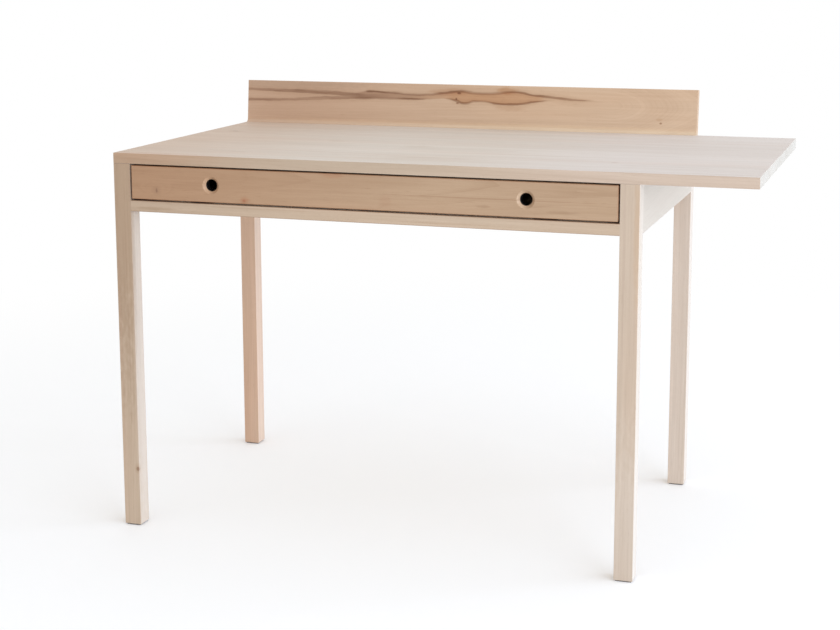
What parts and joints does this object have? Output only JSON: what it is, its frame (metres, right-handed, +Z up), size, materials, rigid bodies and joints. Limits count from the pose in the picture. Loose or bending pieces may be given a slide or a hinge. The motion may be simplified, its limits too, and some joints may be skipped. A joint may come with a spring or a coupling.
{
  "type": "sewing desk",
  "caption": "Pale maple sewing desk with square legs, a wide drawer with finger holes, a side leaf and a leaning backboard with a coved foot.",
  "frame": {"origin": "on the floor, below the middle of the desk's overall length and depth", "axes": "+X along the desk to the end with the side leaf, +Y from the sitter to the back, +Z up"},
  "size_m": [1.2, 0.6457, 0.8219],
  "materials": {
    "top_maple": "soaped, matt",
    "frame_maple": "soaped, matt",
    "drawer_front_maple": "soaped, matt",
    "backboard_maple": "soaped, matt",
    "inner_maple": "bare, planed",
    "birch_ply": "bare, sanded",
    "dowel_beech": "bare",
    "zinc_steel": "zinc plated",
    "felt": "pressed wool felt"
  },
  "bodies": {
    "case": {"top_panel": "top_maple", "backboard": "backboard_maple", "backboard_dowels": "dowel_beech", "front_left_leg": "frame_maple", "front_right_leg": "frame_maple", "back_left_leg": "frame_maple", "back_right_leg": "frame_maple", "front_rail": "frame_maple", "left_apron": "frame_maple", "right_apron": "frame_maple", "back_apron": "frame_maple", "left_runner": "inner_maple", "right_runner": "inner_maple", "left_guide": "inner_maple", "right_guide": "inner_maple", "left_kicker": "inner_maple", "right_kicker": "inner_maple", "drawer_stops": "inner_maple", "tabletop_buttons": "inner_maple", "top_screws": "zinc_steel", "button_screws": "zinc_steel", "leg_pads": "felt"},
    "drawer": {"drawer_front": "drawer_front_maple", "drawer_left_side": "inner_maple", "drawer_right_side": "inner_maple", "drawer_back": "inner_maple", "drawer_muntin": "inner_maple", "drawer_bottom_left": "birch_ply", "drawer_bottom_right": "birch_ply", "bottom_screws": "zinc_steel"}
  },
  "joints": [
    {"name": "drawer_slide", "type": "slide", "parent": "case", "child": "drawer", "axis": [0, -1, 0], "range_m": [0, 0.4]}
  ]
}
